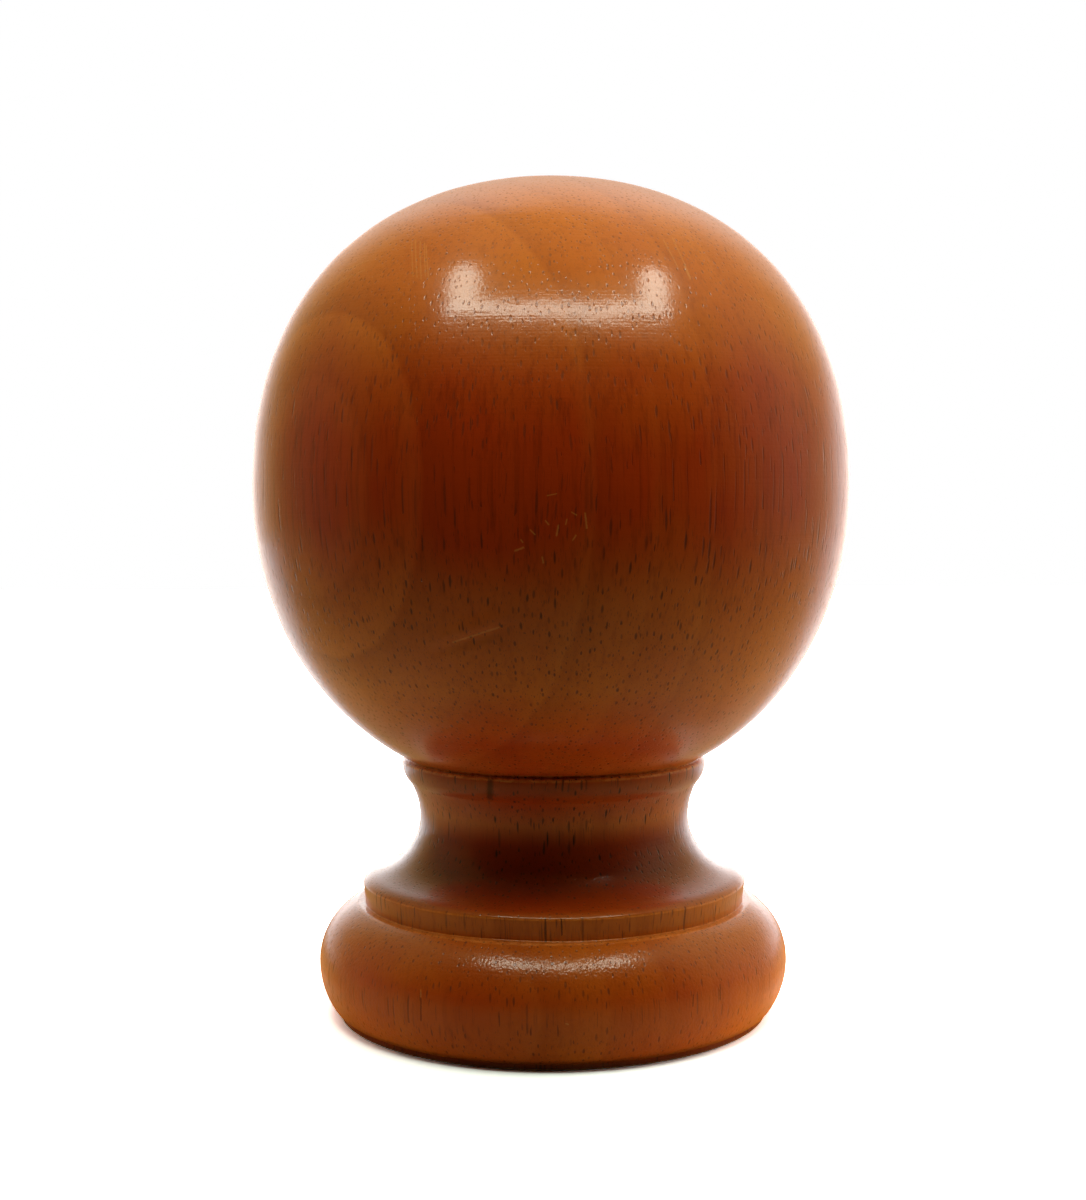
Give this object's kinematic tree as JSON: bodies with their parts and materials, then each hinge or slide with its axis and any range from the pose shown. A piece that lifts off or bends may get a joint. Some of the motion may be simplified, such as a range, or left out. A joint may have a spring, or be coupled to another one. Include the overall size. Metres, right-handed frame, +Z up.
{
  "type": "ball finial",
  "caption": "Turned wooden ball finial with a small collar, hollow neck and bead base, screwed down on top of a stair newel post.",
  "frame": {"origin": "centre of the flat underside, on the turning axis", "axes": "+Z up along the turning axis, from the base to the top of the ball; X and Y are free, because the part is turned"},
  "size_m": [0.1142, 0.1142, 0.1603],
  "materials": {
    "varnished_wood": "orange-brown stain under semi-gloss varnish"
  },
  "bodies": {
    "root": {"ball_finial": "varnished_wood"}
  },
  "joints": []
}
